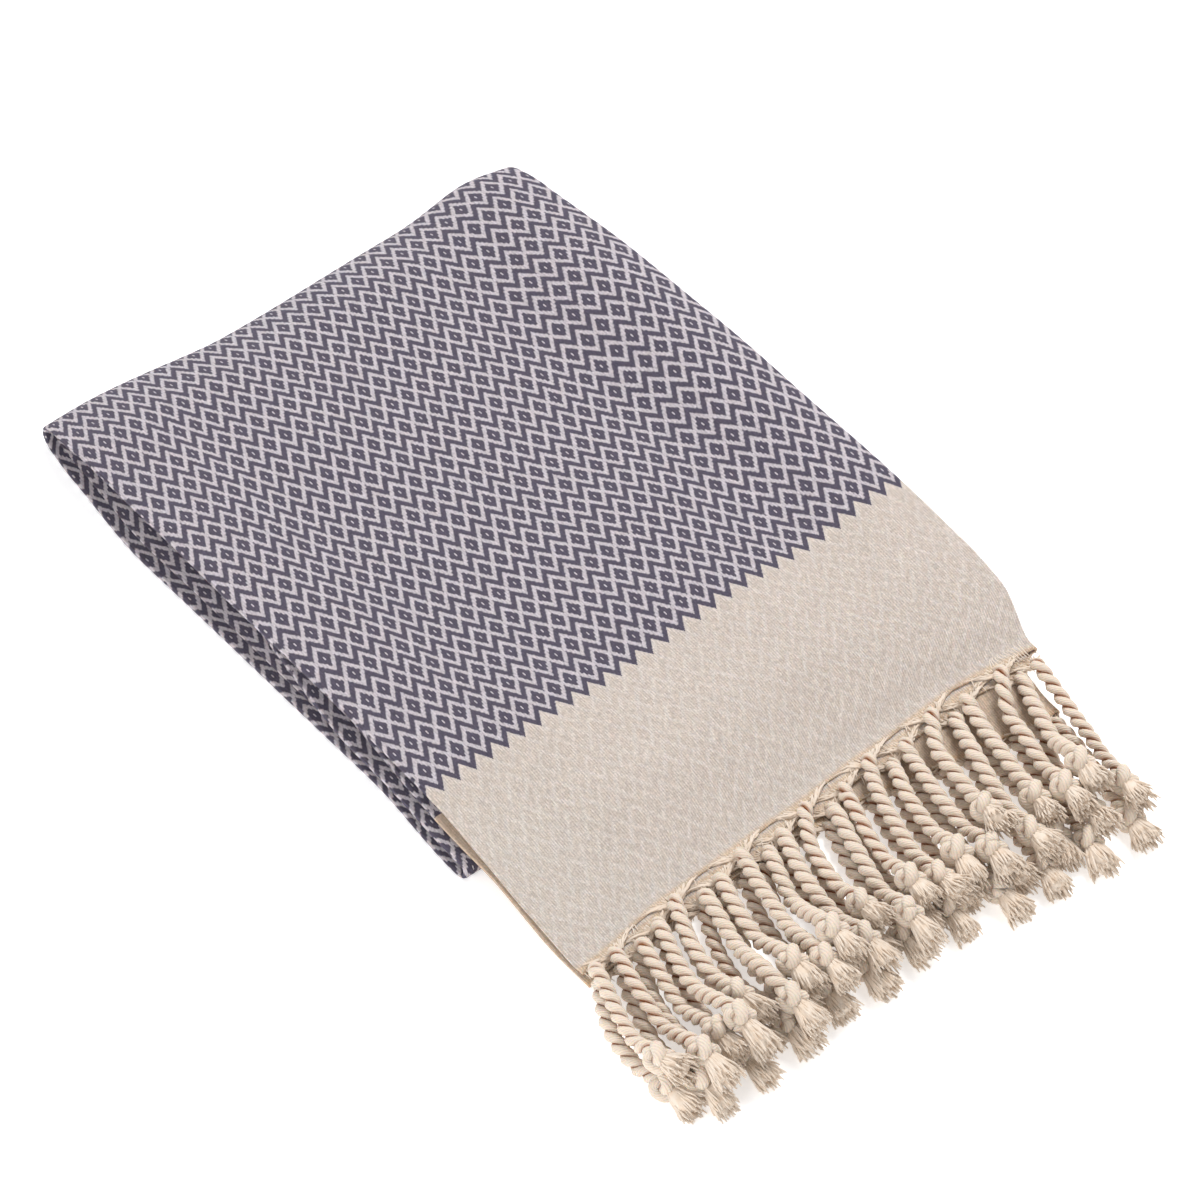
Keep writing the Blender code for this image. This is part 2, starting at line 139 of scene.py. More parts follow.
# Soft creases left by the folding: start x and y, end x and y, half-width, height (a trough if negative)
CREASES = (
    (-0.060, 0.250, -0.020, 0.110, 0.016, 0.0007),
    (0.070, 0.230, 0.105, 0.060, 0.014, -0.0010),
    (-0.120, 0.030, -0.060, -0.060, 0.018, 0.0008),
    (0.000, -0.010, 0.090, -0.045, 0.016, 0.0009),
    (-0.100, -0.120, 0.020, -0.150, 0.012, -0.0006),
    (0.030, -0.100, 0.130, -0.150, 0.014, 0.0008),
    (-0.150, 0.180, -0.135, 0.020, 0.010, 0.0008),
)
# Where each shaping of the cloth begins, along it or across, and how far on it is whole
CORNER_GROWS = (0.262, 0.042)
BACK_BOW_GROWS = (0.150, 0.130)
HEM_BOW_GROWS = (-0.050, -0.110)
HEM_STEP_GROWS = (-0.115, -0.040)
PINCH_GROWS = (-0.150, -0.020)
UNDER_BOW_GROWS = (-0.090, -0.080)
UNDER_SKEW_GROWS = (-0.030, 0.175)
CORNER_WIDTH = 0.050
STEP_WIDTH = 0.030  # how far from its fold a flap's hem has come out whole
print("stack of", round(1000 * STACK, 1), "mm when evenly folded")


# %% Reading the tables
def smooth(value):
    """0 below 0, 1 above 1, and an even S between."""
    value = min(1.0, max(0.0, value))
    return value * value * (3.0 - 2.0 * value)


def grown(value, start, reach):
    """0 up to the start and 1 from the reach on. A negative reach grows towards lower values."""
    return smooth((value - start) / reach)


def read_off(rows, at, column):
    """Reads a table whose first column is a place, easing from one row to the next."""
    if at <= rows[0][0]:
        return rows[0][column]
    for low, high in zip(rows, rows[1:]):
        if at <= high[0]:
            return low[column] + (high[column] - low[column]) * grown(at, low[0], high[0] - low[0])
    return rows[-1][column]


def edges_at(level, y):
    """Left and right edge of a level at a place along the towel."""
    return read_off(EDGES[level], y, 1), read_off(EDGES[level], y, 2)


def across_of(level, x, y):
    """Place across the middle panel, counted from its middle, of a place on the towel."""
    left, right = edges_at(level, y)
    return (x - left) / (right - left) * PANEL - PANEL / 2


def hump(distance, reach):
    """1 at no distance, 0 at the reach, and round between."""
    return math.cos(0.5 * math.pi * min(1.0, abs(distance) / reach)) ** 2


def off_line(x, y, x1, y1, x2, y2):
    """At which share of a line it comes nearest to a place, and how near."""
    dx, dy = x2 - x1, y2 - y1
    share = min(1.0, max(0.0, ((x - x1) * dx + (y - y1) * dy) / (dx * dx + dy * dy)))
    return share, math.hypot(x - x1 - share * dx, y - y1 - share * dy)


def stack_height(x, y):
    """Height of the whole stack at a place, if all four levels were there."""
    height = STACK_HEIGHT
    for at_x, at_y, left, right, front, back, swell in SWELLS:
        across = hump(x - at_x, right if x > at_x else left)
        along = hump(y - at_y, back if y > at_y else front)
        height += swell * across * along
    height += sum(rise * math.sin(often_x * x + often_y * y + at) for rise, often_x, often_y, at in RIPPLES)
    for *line, width, rise in CREASES:
        _, gap = off_line(x, y, *line)
        height += rise * math.exp(-((gap / width) ** 2))
    return height


def settle(point):
    """Presses or lifts a point of the evenly folded cloth to the real height of the stack there."""
    point.z *= stack_height(point.x, point.y) / STACK


# %% [markdown]
# ## Sections and stations
#
# A sheet that is folded both ways is easiest to make flat, as a grid, and then to bend. A section is a
# place across the cloth and a station a place along it. Each section knows how far it lies from the middle
# layer of its level, and each station knows where that middle layer runs and which way.

# %% Sections across the cloth
# From the free edge of the left flap to that of the right one. A section is: x, offset, layer.
FLAP_COLUMNS = 27
CENTRE_COLUMNS = 74
FOLD_STEPS = 6


def between(low, high, count):
    """Evenly spaced values from low to high, without the two ends."""
    return [low + (high - low) * step / (count + 1) for step in range(1, count + 1)]


half = PANEL / 2
left_turn, right_turn = LAYER_PITCH / 2, LAYER_PITCH
left_end, right_end = left_turn - half, half - right_turn
left_free, right_free = half - (PANEL - FLAP_LEFT), half - FLAP_RIGHT
turns = [math.pi * step / FOLD_STEPS for step in range(FOLD_STEPS + 1)]
SECTIONS = [
    (left_free, 0.0, "left_flap"),
    *((x, 0.0, "left_flap") for x in between(left_free, left_end, FLAP_COLUMNS)),
    *((left_end - left_turn * math.sin(a), left_turn * (1 - math.cos(a)), "left_fold") for a in turns),
    *((x, LAYER_PITCH, "centre") for x in between(left_end, right_end, CENTRE_COLUMNS)),
    *((right_end + right_turn * math.sin(a), right_turn * math.cos(a), "right_fold") for a in turns),
    *((x, -LAYER_PITCH, "right_flap") for x in between(right_end, right_free, FLAP_COLUMNS)),
    (right_free, -LAYER_PITCH, "right_flap"),
]
print(len(SECTIONS), "sections")


# %% Stations along the cloth
# A station is: run, y, height, direction angle, edge table before, edge table after, share, and how far it
# is out on the hem's scallops.
SCALLOP_STEPS = (1.0, 0.66, 0.33)  # beyond each hem, from the tips inward


def on_run(name, level, y, back=False, out=0.0):
    """A station on a straight run, where the cloth goes towards the back fold or comes back from it."""
    return (name, y, level * LEVEL_PITCH + STRIP_MIDDLE, math.pi if back else 0.0, name, name, 0.0, out)


def run(name, level, start, end, count):
    """Stations of one straight run along the cloth."""
    return [on_run(name, level, y, end < start) for y in (start, *between(start, end, count), end)]


def turn(names, y, levels, toward, steps):
    """Stations of one fold between two runs, without its ends, which belong to the runs."""
    first, last = levels
    radius = abs(first - last) * LEVEL_PITCH / 2
    middle = (first + last) * LEVEL_PITCH / 2 + STRIP_MIDDLE
    down = 1 if first > last else -1
    rows = []
    for step in range(1, steps):
        share = step / steps
        swing = math.pi * share
        height = middle + radius * math.cos(swing) * down
        heading = -swing * down
        if toward < 0:
            heading = math.pi - heading
        rows.append((names[0], y + toward * radius * math.sin(swing), height, heading, *names, share, 0.0))
    return rows


# All stations, from the hem on top to the hem under it
inner_back = BACK_FOLD - INNER_SETBACK
STATIONS = [
    *(on_run("top", 3, TOP_HEM, False, out) for out in SCALLOP_STEPS),
    *run("top", 3, TOP_HEM, BACK_FOLD, 112),
    *turn(("top", "floor"), BACK_FOLD, (3, 0), 1, 12),
    *run("floor", 0, BACK_FOLD, FRONT_FOLD, 44),
    *turn(("floor", "inner"), FRONT_FOLD, (0, 1), -1, 8),
    *run("inner", 1, FRONT_FOLD, inner_back, 44),
    *turn(("inner", "under"), inner_back, (1, 2), 1, 8),
    *run("under", 2, inner_back, UNDER_HEM, 64),
    *(on_run("under", 2, UNDER_HEM, True, out) for out in reversed(SCALLOP_STEPS)),
]
print(len(STATIONS), "stations")

# %% [markdown]
# ## Where the cords start
#
# The warp threads of about 46 mm of cloth are gathered into one cord, so the hem is drawn out into a small
# scallop at each root. The roots are listed before the sheet is made, because the sheet's edge needs them.

# %% Roots and scallops
# end, layer, how many, x of the first, and the pitch
ROOTS = (
    ("under", "centre", 7, -0.1465, 0.0427),
    ("under", "left_flap", 8, -0.1610, 0.0421),
    ("under", "right_flap", 7, -0.1320, 0.0427),
    ("top", "centre", 7, -0.1465, 0.0460),
    ("top", "left_flap", 8, -0.1610, 0.0443),
    ("top", "right_flap", 7, -0.1325, 0.0451),
)
SCALLOP_OUT = 0.0050  # how far a scallop's tip stands out beyond the hem
SCALLOP_WIDTH = 0.0105
SCALLOP_POINT = 1.15  # 1 makes a scallop pointed, 2 round
HEM_LIP = 0.0008  # the hem's edge where there is no scallop
RAGGED = 0.0004  # how uneven the threads of the edge are


def roots_of(end):
    """Layer and x of each root of an end."""
    rows = [row[1:] for row in ROOTS if row[0] == end]
    return [(layer, first + pitch * index) for layer, count, first, pitch in rows for index in range(count)]


def scallop(end, layer, x):
    """How far the edge stands out beyond the hem at a place."""
    out = HEM_LIP
    for root_layer, root_x in roots_of(end):
        if root_layer == layer.replace("_fold", "_flap"):
            out += SCALLOP_OUT * math.exp(-(abs(x - root_x) / SCALLOP_WIDTH) ** SCALLOP_POINT)
    return out + RAGGED * math.sin(410.0 * x) * math.sin(1530.0 * x)


def hem_step(across, layer):
    """How far a layer's hem comes out beyond the top layer's: not at all at a fold, where they are one."""
    if layer == "left_flap":
        return HEM_STEP * smooth((across + PANEL / 2) / STEP_WIDTH)
    if layer == "right_flap":
        return 2 * HEM_STEP * smooth((PANEL / 2 - across) / STEP_WIDTH)
    return 0.0


def pinch(y):
    """Share of the layer pitch that is left at a place, because the roots hold the layers together."""
    return 1.0 - (1.0 - HEM_PINCH) * grown(y, *PINCH_GROWS)


def lay(section, station):
    """The place of one point of the cloth in the evenly folded stack."""
    across, offset, layer = section
    name, y, z, angle, first, second, share, beyond = station
    level_y = min(y, BACK_FOLD)
    left, right = [
        here + (there - here) * smooth(share)
        for here, there in zip(edges_at(first, level_y), edges_at(second, level_y))
    ]
    x = left + (across + PANEL / 2) / PANEL * (right - left)
    corner = grown(y, *CORNER_GROWS)
    x += BACK_LEFT_INSET * corner * max(0.0, 1.0 - (x - left) / CORNER_WIDTH) ** 2
    x -= BACK_RIGHT_INSET * corner * max(0.0, 1.0 - (right - x) / CORNER_WIDTH) ** 2
    y -= offset * math.sin(angle)
    z += offset * math.cos(angle)
    at_end = name in ("top", "under") and share == 0.0
    if at_end:
        loose = 1.0 - pinch(y)
        z -= loose * (offset * math.cos(angle) + LAYER_PITCH)
        z -= 2 * loose * LAYER_PITCH if name == "top" else 0.0
    y += read_off(BACK_BOW, x, 1) * grown(y, *BACK_BOW_GROWS)
    if at_end and name == "top":
        y += read_off(HEM_BOW, x, 1) * grown(y, *HEM_BOW_GROWS)
        y -= hem_step(across, layer) * grown(y, *HEM_STEP_GROWS)
    if beyond:
        y -= beyond * scallop(name, layer, x)
    if at_end and name == "under":
        bow = read_off(HEM_BOW, x, 2) - UNDER_SKEW * grown(x, *UNDER_SKEW_GROWS)
        y += bow * grown(y, *UNDER_BOW_GROWS)
    if at_end:
        z -= 2 * LEVEL_PITCH * grown(y, DROP_START, DROP_END - DROP_START)
    return Vector((x, y, z))


# %% [markdown]
# ## The sheet
#
# The mesh is a grid whose vertices are laid by the two lists above. Its UV map is in metres of flat cloth,
# so that the weave can follow the threads round every fold. Solidify gives the sheet its thickness.

# %% Lay the sheet in its folds
def flat_lengths(points):
    """Running length along a row of places."""
    total = [0.0]
    for start, end in zip(points, points[1:]):
        total.append(total[-1] + (end - start).length)
    return total


ACROSS = flat_lengths([Vector((x, offset, 0.0)) for x, offset, _ in SECTIONS])
ALONG = flat_lengths([lay(SECTIONS[len(SECTIONS) // 2], station) for station in STATIONS])
CLOTH_WIDTH, CLOTH_LENGTH = ACROSS[-1], ALONG[-1]
HEM_ALONG = ALONG[len(SCALLOP_STEPS)]  # place of the top hem along the flat cloth


def grid_place(vertex):
    """Which section and which station a vertex of the flat grid belongs to."""
    return round((vertex.co.x + 0.5) * (len(SECTIONS) - 1)), round((vertex.co.y + 0.5) * (len(STATIONS) - 1))


grid = bmesh.new()
bmesh.ops.create_grid(grid, x_segments=len(SECTIONS) - 1, y_segments=len(STATIONS) - 1, size=0.5)
uv = grid.loops.layers.uv.new("Cloth")
for vertex in grid.verts:
    column, row = grid_place(vertex)
    for loop in vertex.link_loops:
        loop[uv].uv = (ACROSS[column], ALONG[row])
    vertex.co = lay(SECTIONS[column], STATIONS[row])
mesh = bpy.data.meshes.new("towel_sheet")
grid.to_mesh(mesh)
grid.free()

towel_sheet = new_object("towel_sheet", mesh)
wall = towel_sheet.modifiers.new("Thickness", "SOLIDIFY")
wall.thickness = SHEET
wall.offset = 0.0
towel_sheet.select_set(True)
bpy.context.view_layer.objects.active = towel_sheet
bpy.ops.object.modifier_apply(modifier=wall.name)
for vertex in towel_sheet.data.vertices:
    settle(vertex.co)
    vertex.co -= OUTLINE_MIDDLE
towel_sheet.data.shade_smooth()
faces = len(towel_sheet.data.polygons)
print("cloth", round(CLOTH_WIDTH, 3), "by", round(CLOTH_LENGTH, 3), "m,", faces, "faces")

# %% [markdown]
# ## How the cords lie
#
# A cord leaves its root, takes its place in the comb of cords, and lies on whatever is below it: the
# ground, the cloth, or cords laid before. The same rule as in the solid model gives each cord its height.

# %% Cords, laid one on another
CORD_RADIUS = 0.0044
ROOT_RADIUS = 0.0026
KNOT_RADIUS = 0.0074
TUFT_RADIUS = 0.0058
CORD_CLEARANCE = 0.0004  # between a cord and what it lies on
CORD_SLOPE = 0.60  # how steeply a cord comes down from what it lies on
CORD_REST = 0.007  # how far it goes on level before it does
CORD_LEVEL = 0.97  # how much of a cord's length is left when it is seen from above
CORD_STAGGER = 0.0070  # every other cord is longer by this, and those between are shorter
COMB_REACH = 0.030  # how far from its root a cord has reached its place in the comb
ROOT_IN = 0.0012  # how far inside the tip of its scallop a cord starts
EDGE_BEYOND_ROOT = 0.0040
EDGE_BEYOND_HEM = 0.007  # how far beyond the under hem its scallops still carry a cord
# Distance from the root and radius, then distance from the tip and radius: the knot, its neck and the tuft
CORD_START = ((0.0, ROOT_RADIUS), (0.0050, 0.0040), (0.0105, CORD_RADIUS))
CORD_END = ((0.0215, KNOT_RADIUS), (0.0140, 0.0046), (0.0065, TUFT_RADIUS), (0.0, TUFT_RADIUS * 0.9))
BODY_FROM, BODY_TO, BODY_STEPS = 0.0170, 0.0285, 5
KNOT_AT = len(CORD_START) + BODY_STEPS + 1  # which of a cord's places is its knot
# How many hems of the top end come out from below each layer. Those of the under end are even.
HEMS_BELOW = {"centre": 2, "left_flap": 1, "right_flap": 0}
# end, x of the first tip, pitch of the tips, length of the first and last cord, bend of the first and last
LANES = (
    ("under", -0.1790, 0.0140, 0.110, 0.098, -0.0110, 0.0020),
    ("top", -0.1760, 0.0142, 0.108, 0.112, -0.0080, -0.0010),
)
LAYER_OFFSET = {"centre": LAYER_PITCH, "left_flap": 0.0, "right_flap": -LAYER_PITCH}


def on_layer(end, layer, x, y, out):
    """A place in the middle of a layer near its hem, out on the scallops by the share given."""
    section = (across_of(end, x, y), LAYER_OFFSET[layer], layer)
    level = 3 if end == "top" else 2
    point = lay(section, on_run(end, level, y, end == "under", out))
    settle(point)
    return point


def root_point(end, layer, x):
    """Where a cord starts, at the tip of its scallop."""
    point = on_layer(end, layer, x, HEMS[end] - SCALLOP_OUT + ROOT_IN, 0.0)
    point.z = max(point.z, ROOT_RADIUS)
    return point


def cloth_top_under(x, y):
    """Height of the upper face of the under end, or 0 beyond it."""
    skew = UNDER_SKEW * grown(x, *UNDER_SKEW_GROWS) - read_off(HEM_BOW, x, 2)
    if y < UNDER_HEM - skew - EDGE_BEYOND_HEM - CORD_CLEARANCE:
        return 0.0
    return (2 * LAYER_PITCH * pinch(y) + SHEET) * stack_height(x, y) / STACK


def cord_stations(length):
    """Distances along a cord with its radius there: the root, the twisted length, the knot and the tuft."""
    body = length - BODY_TO - BODY_FROM
    rows = [(BODY_FROM + body * step / BODY_STEPS, CORD_RADIUS) for step in range(BODY_STEPS + 1)]
    return [*CORD_START, *rows, *((length - back, radius) for back, radius in CORD_END)]


def hems_below(root, y, layers):
    """Top of the hems that come out from below a root's own hem, or 0 beyond them."""
    scale = stack_height(root.x, root.y) / STACK
    for layer in range(1, layers + 1):
        if y > root.y - HEM_STEP * layer - EDGE_BEYOND_ROOT:
            return root.z + (SHEET / 2 - LAYER_PITCH * HEM_PINCH * layer) * scale
    return 0.0


def laid_cord(root, layers, comb_x, tip_x, length, bend, wave, on_cloth, laid):
    """One cord from its root to its tip, laid on whatever is below it: [(point, radius)]."""
    rows = cord_stations(length)
    fine = [
        (low + (high - low) * share, low_radius + (high_radius - low_radius) * share)
        for (low, low_radius), (high, high_radius) in zip(rows, rows[1:]) for share in (0.0, 1 / 3, 2 / 3)
    ]
    fine.append(rows[-1])
    run_length = math.sqrt(max(0.25, 1.0 - ((tip_x - root.x) / length) ** 2)) * CORD_LEVEL

    def place(distance):
        share = distance / length
        x = comb_x + (tip_x - comb_x) * share + bend * math.sin(math.pi * share)
        x += wave * math.sin(2.0 * math.pi * share)
        x += (root.x - comb_x) * (1.0 - smooth(distance / COMB_REACH))
        return x, root.y - distance * run_length

    def lowest(x, y, radius):
        """Lowest height at which the cord clears the ground, the cloth, the hems and the cords laid."""
        tops = (cloth_top_under(x, y) if on_cloth else 0.0, hems_below(root, y, layers))
        need = max([radius, *(top + radius + CORD_CLEARANCE for top in tops if top)])
        for other in laid:
            for (start, start_radius), (end, end_radius) in zip(other, other[1:]):
                share, gap = off_line(x, y, start.x, start.y, end.x, end.y)
                reach = radius + start_radius + share * (end_radius - start_radius) + CORD_CLEARANCE
                if gap < reach:
                    level = start.z + share * (end.z - start.z)
                    need = max(need, level + math.sqrt(reach * reach - gap * gap))
        return need

    needs = [(distance, lowest(*place(distance), radius)) for distance, radius in fine]
    cord = []
    for index, (distance, radius) in enumerate(rows):
        x, y = place(distance)
        z = max(need - CORD_SLOPE * max(0.0, abs(distance - at) - CORD_REST) for at, need in needs)
        if index == 0:
            z = root.z
        elif index < 3:
            z = max(root.z + (z - root.z) * index / 3, lowest(x, y, radius))
        cord.append((Vector((x, y, z)), radius))
    return cord


# The cords of both ends, the under end's first, each laid over those before it
chance = random.Random(7)
laid = []
CORDS = {"under": [], "top": []}
for end, tip, pitch, first_length, last_length, first_bend, last_bend in LANES:
    on_cloth = end == "top"
    roots = [(root_point(end, layer, x), HEMS_BELOW[layer] * on_cloth) for layer, x in roots_of(end)]
    roots.sort(key=lambda row: row[0].x)
    for index, (root, layers) in enumerate(roots):
        share = index / (len(roots) - 1)
        length = first_length + (last_length - first_length) * share
        length += CORD_STAGGER * (1 if index % 2 else -1) + chance.uniform(-0.0022, 0.0022)
        bend = first_bend + (last_bend - first_bend) * share + chance.uniform(-0.0028, 0.0028)
        tip_x = tip + pitch * index + chance.uniform(-0.0018, 0.0018)
        wave = chance.uniform(-0.0016, 0.0016)
        comb_x = roots[0][0].x + (roots[-1][0].x - roots[0][0].x) * share
        cord = laid_cord(root, layers, comb_x, tip_x, length, bend, wave, on_cloth, laid)
        laid.append(cord)
        CORDS[end].append(cord)
print("cords", {end: len(cords) for end, cords in CORDS.items()})

# %% [markdown]
# ## Tubes along a path
#
# Cords, knots and loose threads are all round and soft. A curve with a bevel would do for one, but there are
# thousands, so one helper sweeps a ring along a row of points. It writes a UV map, a share of the way round
# and metres along, for the fibres of the yarn. It also writes an attribute that says how deep in the cord a
# place lies, so that the material can paint shade, darker and warmer, into the cord's hollows.

# %% Sweep helper
YARN_RIDGE = 0.06  # how far each yarn stands out of a ply, as a share of the ply's radius
YARN_TURN = 900.0  # how fast the yarns turn round the ply, per metre
LOWEST = 0.0003  # no thread goes lower than this


def direction_at(path, index):
    """Direction of a path at one of its places."""
    return (path[min(index + 1, len(path) - 1)] - path[max(index - 1, 0)]).normalized()


class Threads:
    """Collects swept tubes and makes one piece of them."""

    def __init__(self):
        self.points, self.faces, self.uvs, self.painted_hollow_shades = [], [], [], []

    def sweep(self, path, radii, sides, axis_path=None, axis_reach=1.0, yarns=0):
        """Adds one tube. Its places are deep near the axis path and not at all beyond the axis reach, for
        painted shade.
        """
        base = len(self.points)
        lengths = flat_lengths(path)
        widest = max(radii)
        normal = None
        for index, point in enumerate(path):
            tangent = direction_at(path, index)
            if normal is None:
                normal = tangent.cross(Vector((0.0, 0.0, 1.0)))
                if normal.length < 1e-3:
                    normal = tangent.cross(Vector((1.0, 0.0, 0.0)))
            normal = (normal - tangent * normal.dot(tangent)).normalized()
            side = tangent.cross(normal)
            for step in range(sides):
                angle = 2.0 * math.pi * step / sides
                out = normal * math.cos(angle) + side * math.sin(angle)
                ridge = YARN_RIDGE * math.cos(yarns * angle + YARN_TURN * lengths[index]) if yarns else 0.0
                place = point + out * radii[index] * (1.0 + ridge)
                place.z = max(place.z, LOWEST)
                self.points.append(place)
                painted_hollow_shade = 0.0
                if axis_path is not None:
                    reach = axis_reach * radii[index] / widest
                    painted_hollow_shade = 1.0 - min(1.0, (place - axis_path[index]).length / reach)
                self.painted_hollow_shades.append(painted_hollow_shade)
        for index in range(len(path) - 1):
            for step in range(sides):
                after = (step + 1) % sides
                low, high = base + index * sides, base + (index + 1) * sides
                self.faces.append((low + step, low + after, high + after, high + step))
                near, far = step / sides, (step + 1) / sides
                start, end = lengths[index], lengths[index + 1]
                self.uvs += [(near, start), (far, start), (far, end), (near, end)]
        last = base + (len(path) - 1) * sides
        self.faces.append(tuple(base + step for step in reversed(range(sides))))
        self.faces.append(tuple(last + step for step in range(sides)))
        self.uvs += [(0.5, 0.0)] * sides + [(0.5, lengths[-1])] * sides

    def piece(self, name):
        """One piece of all tubes, with the UV map and the depths that put painted shade into the hollows."""
        mesh = bpy.data.meshes.new(name)
        mesh.from_pydata([point - OUTLINE_MIDDLE for point in self.points], [], self.faces)
        layer = mesh.uv_layers.new(name="Yarn")
        for loop, uv in enumerate(self.uvs):
            layer.data[loop].uv = uv
        painted_hollow_shade = mesh.attributes.new("painted_hollow_shade", "FLOAT", "POINT")
        painted_hollow_shade.data.foreach_set("value", self.painted_hollow_shades)
        mesh.shade_smooth()
        lowest = min(point.z for point in self.points)
        print(name, len(mesh.polygons), "faces, lowest", round(1000 * lowest, 2), "mm")
        return new_object(name, mesh)


def curved(points, spacing):
    """A smooth path through points, with a place about every spacing."""
    made = []
    for index, (start, end) in enumerate(zip(points, points[1:])):
        before = points[max(index - 1, 0)]
        after = points[min(index + 2, len(points) - 1)]
        steps = max(1, round((end - start).length / spacing))
        for step in range(steps):
            t = step / steps
            made.append(0.5 * (
                2 * start + (end - before) * t
                + (2 * before - 5 * start + 4 * end - after) * t * t
                + (3 * start - before - 3 * end + after) * t ** 3
            ))
    return [*made, points[-1]]


def on_each_cord(name, add, cords, seed):
    """One piece of what is added to each of an end's cords: its plies, its knot or its tuft."""
    chance = random.Random(seed)
    threads = Threads()
    for cord in cords:
        add(threads, cord, chance)
    return threads.piece(name)


# %% [markdown]
# ## Twisted cords
#
# Each cord is two plies that turn round each other to the left, as in the stroke of an S. A ply is soft, so
# it is a little fatter than half the cord, and the two press into each other.

# %% Twist two plies along each cord
TWIST_PITCH = 0.0172
PLY_RADIUS = 0.56  # as a share of the cord's radius
PLY_OUT = 0.46  # how far a ply's middle lies from the cord's, as such a share
PLY_STEP = 0.0011  # distance from one ring of a ply to the next
ROOT_SHARE = 0.55  # thickness at the root, and how far on the cord is whole
ROOT_GROWS = 0.006


def add_plies(threads, cord, chance):
    """The two plies of a cord, up to its knot."""
    axis = curved([point for point, _ in cord[:KNOT_AT + 1]], PLY_STEP)
    lengths = flat_lengths(axis)
    pitch = TWIST_PITCH * chance.uniform(0.92, 1.08)
    start = chance.uniform(0.0, 2.0 * math.pi)
    size = chance.uniform(0.93, 1.06)
    paths = ([], [])
    radii = []
    for index, point in enumerate(axis):
        tangent = direction_at(axis, index)
        side = tangent.cross(Vector((0.0, 0.0, 1.0))).normalized()
        up = tangent.cross(side)
        share = ROOT_SHARE + (1.0 - ROOT_SHARE) * smooth(lengths[index] / ROOT_GROWS)
        radius = CORD_RADIUS * size * share
        angle = start - 2.0 * math.pi * lengths[index] / pitch
        for ply, path in enumerate(paths):
            out = side * math.cos(angle + math.pi * ply) + up * math.sin(angle + math.pi * ply)
            path.append(point + out * radius * PLY_OUT)
        radii.append(radius * PLY_RADIUS)
    for path in paths:
        threads.sweep(path, radii, 15, axis, CORD_RADIUS, yarns=5)


top_cords = on_each_cord("top_cords", add_plies, CORDS["top"], 3)
under_cords = on_each_cord("under_cords", add_plies, CORDS["under"], 5)

# %% [markdown]
# ## Knots and tufts
#
# The cord ends in an overhand knot. A tight one is three crossings of soft cord, which is a trefoil, so
# each knot is a ply swept along a small trefoil whose axis lies along the cord. Beyond it the yarns come
# loose in a tuft: a soft core with many short threads round it. Hair particles could make the threads, but
# they don't become faces of the piece, so the threads are swept as well.

# %% Knots and tufts of one end
KNOT_TURN = 0.00175  # size of the trefoil
KNOT_PLY = 0.0034  # radius of the ply in the knot
KNOT_LENGTH = 0.0034  # how far the knot reaches to each side along the cord
KNOT_RINGS = 45
TUFT_THREADS = 115
# Share of the tuft's length, and its width there as a share of the widest
TUFT_SHAPE = ((0.18, 0.52), (0.34, 0.74), (0.52, 0.92), (0.68, 1.00), (0.80, 0.90), (0.88, 0.50))
THREAD_SHAPE = ((0.22, 0.52), (0.45, 0.78), (0.68, 0.97), (0.86, 1.02), (1.0, 1.0))
THREAD_RADII = (0.00060, 0.00072, 0.00074, 0.00062, 0.00040)
TUFT_LOWEST = 0.0008  # no thread's middle goes lower than this


def knot_frame(cord):
    """Place, direction and the two sideways directions at a cord's knot."""
    tangent = (cord[KNOT_AT + 1][0] - cord[KNOT_AT - 1][0]).normalized()
    side = tangent.cross(Vector((0.0, 0.0, 1.0))).normalized()
    return cord[KNOT_AT][0], tangent, side, tangent.cross(side)


def add_knot(threads, cord, chance):
    """A ply swept along a trefoil at a cord's knot."""
    place, tangent, side, up = knot_frame(cord)
    turned = chance.uniform(0.0, 2.0 * math.pi)
    size = KNOT_TURN * chance.uniform(0.90, 1.08)
    path = []
    for step in range(KNOT_RINGS):
        t = 2.0 * math.pi * step / (KNOT_RINGS - 1) + turned
        flat_x = math.sin(t) + 2.0 * math.sin(2.0 * t)
        flat_y = math.cos(t) - 2.0 * math.cos(2.0 * t)
        along = -math.sin(3.0 * t)
        path.append(place + size * (side * flat_x + up * flat_y) + tangent * along * KNOT_LENGTH)
    threads.sweep(path, [KNOT_PLY] * KNOT_RINGS, 18, [place] * KNOT_RINGS, KNOT_RADIUS, yarns=6)


def add_tuft(threads, cord, chance):
    """A soft core and the loose threads round it, from a cord's knot to its tip."""
    place, _, side, up = knot_frame(cord)
    tip = cord[-1][0]
    length = (tip - place).length * chance.uniform(0.90, 1.06)
    direction = (tip - place).normalized()
    wide = TUFT_RADIUS * chance.uniform(1.00, 1.22)
    core = [place + direction * length * share for share, _ in TUFT_SHAPE]
    threads.sweep(core, [wide * size for _, size in TUFT_SHAPE], 24, yarns=8)
    for _ in range(TUFT_THREADS):
        angle = chance.uniform(0.0, 2.0 * math.pi)
        reach = chance.uniform(0.80, 1.12)
        lift = 1.05 - 0.85 * chance.random() ** 2.2
        flare = chance.uniform(0.95, 1.45)
        swirl = chance.uniform(-0.5, 0.5)
        path = []
        for share, size in THREAD_SHAPE:
            turned = angle + swirl * share
            out = side * math.cos(turned) + up * math.sin(turned)
            size *= lift if share < 0.8 else lift * (1.0 + (flare - 1.0) * (share - 0.68) / 0.32)
            point = place + direction * length * share * reach + out * wide * size
            point.z = max(point.z, TUFT_LOWEST)
            path.append(point)
        threads.sweep(path, THREAD_RADII, 4)


top_knots = on_each_cord("top_knots", add_knot, CORDS["top"], 11)
under_knots = on_each_cord("under_knots", add_knot, CORDS["under"], 13)
top_tufts = on_each_cord("top_tufts", add_tuft, CORDS["top"], 21)
under_tufts = on_each_cord("under_tufts", add_tuft, CORDS["under"], 23)

# %% [markdown]
# ## Warp threads at the hem
#
# The warp threads run along the edge of each scallop and together into the cord. So a fan of short threads
# lies over the hem at each root, and a few ends stay loose.

